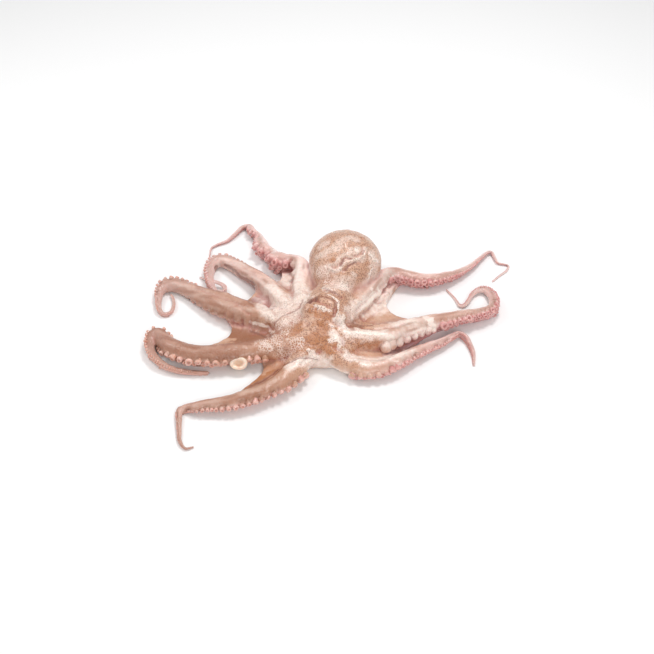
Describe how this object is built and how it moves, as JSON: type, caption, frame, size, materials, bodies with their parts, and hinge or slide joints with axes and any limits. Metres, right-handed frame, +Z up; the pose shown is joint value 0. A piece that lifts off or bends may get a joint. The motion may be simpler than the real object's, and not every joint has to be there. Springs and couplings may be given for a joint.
{
  "type": "whole octopus",
  "caption": "A whole raw octopus lying mouth down, its round mantle behind the head and its sucker-lined arms spread and curled at the tips, joined by skin webs",
  "frame": {"origin": "on the resting plane, under the mouth, where the arms meet", "axes": "+Z up from the surface it lies on, +Y towards the mantle's side of the animal, +X towards its right-hand arms as seen in the picture"},
  "size_m": [0.4886, 0.4348, 0.0814],
  "materials": {
    "skin": "wet, soft and slightly translucent skin, tan on the back and pale pink on the sucker side"
  },
  "bodies": {
    "root": {"octopus": "skin"}
  },
  "joints": []
}
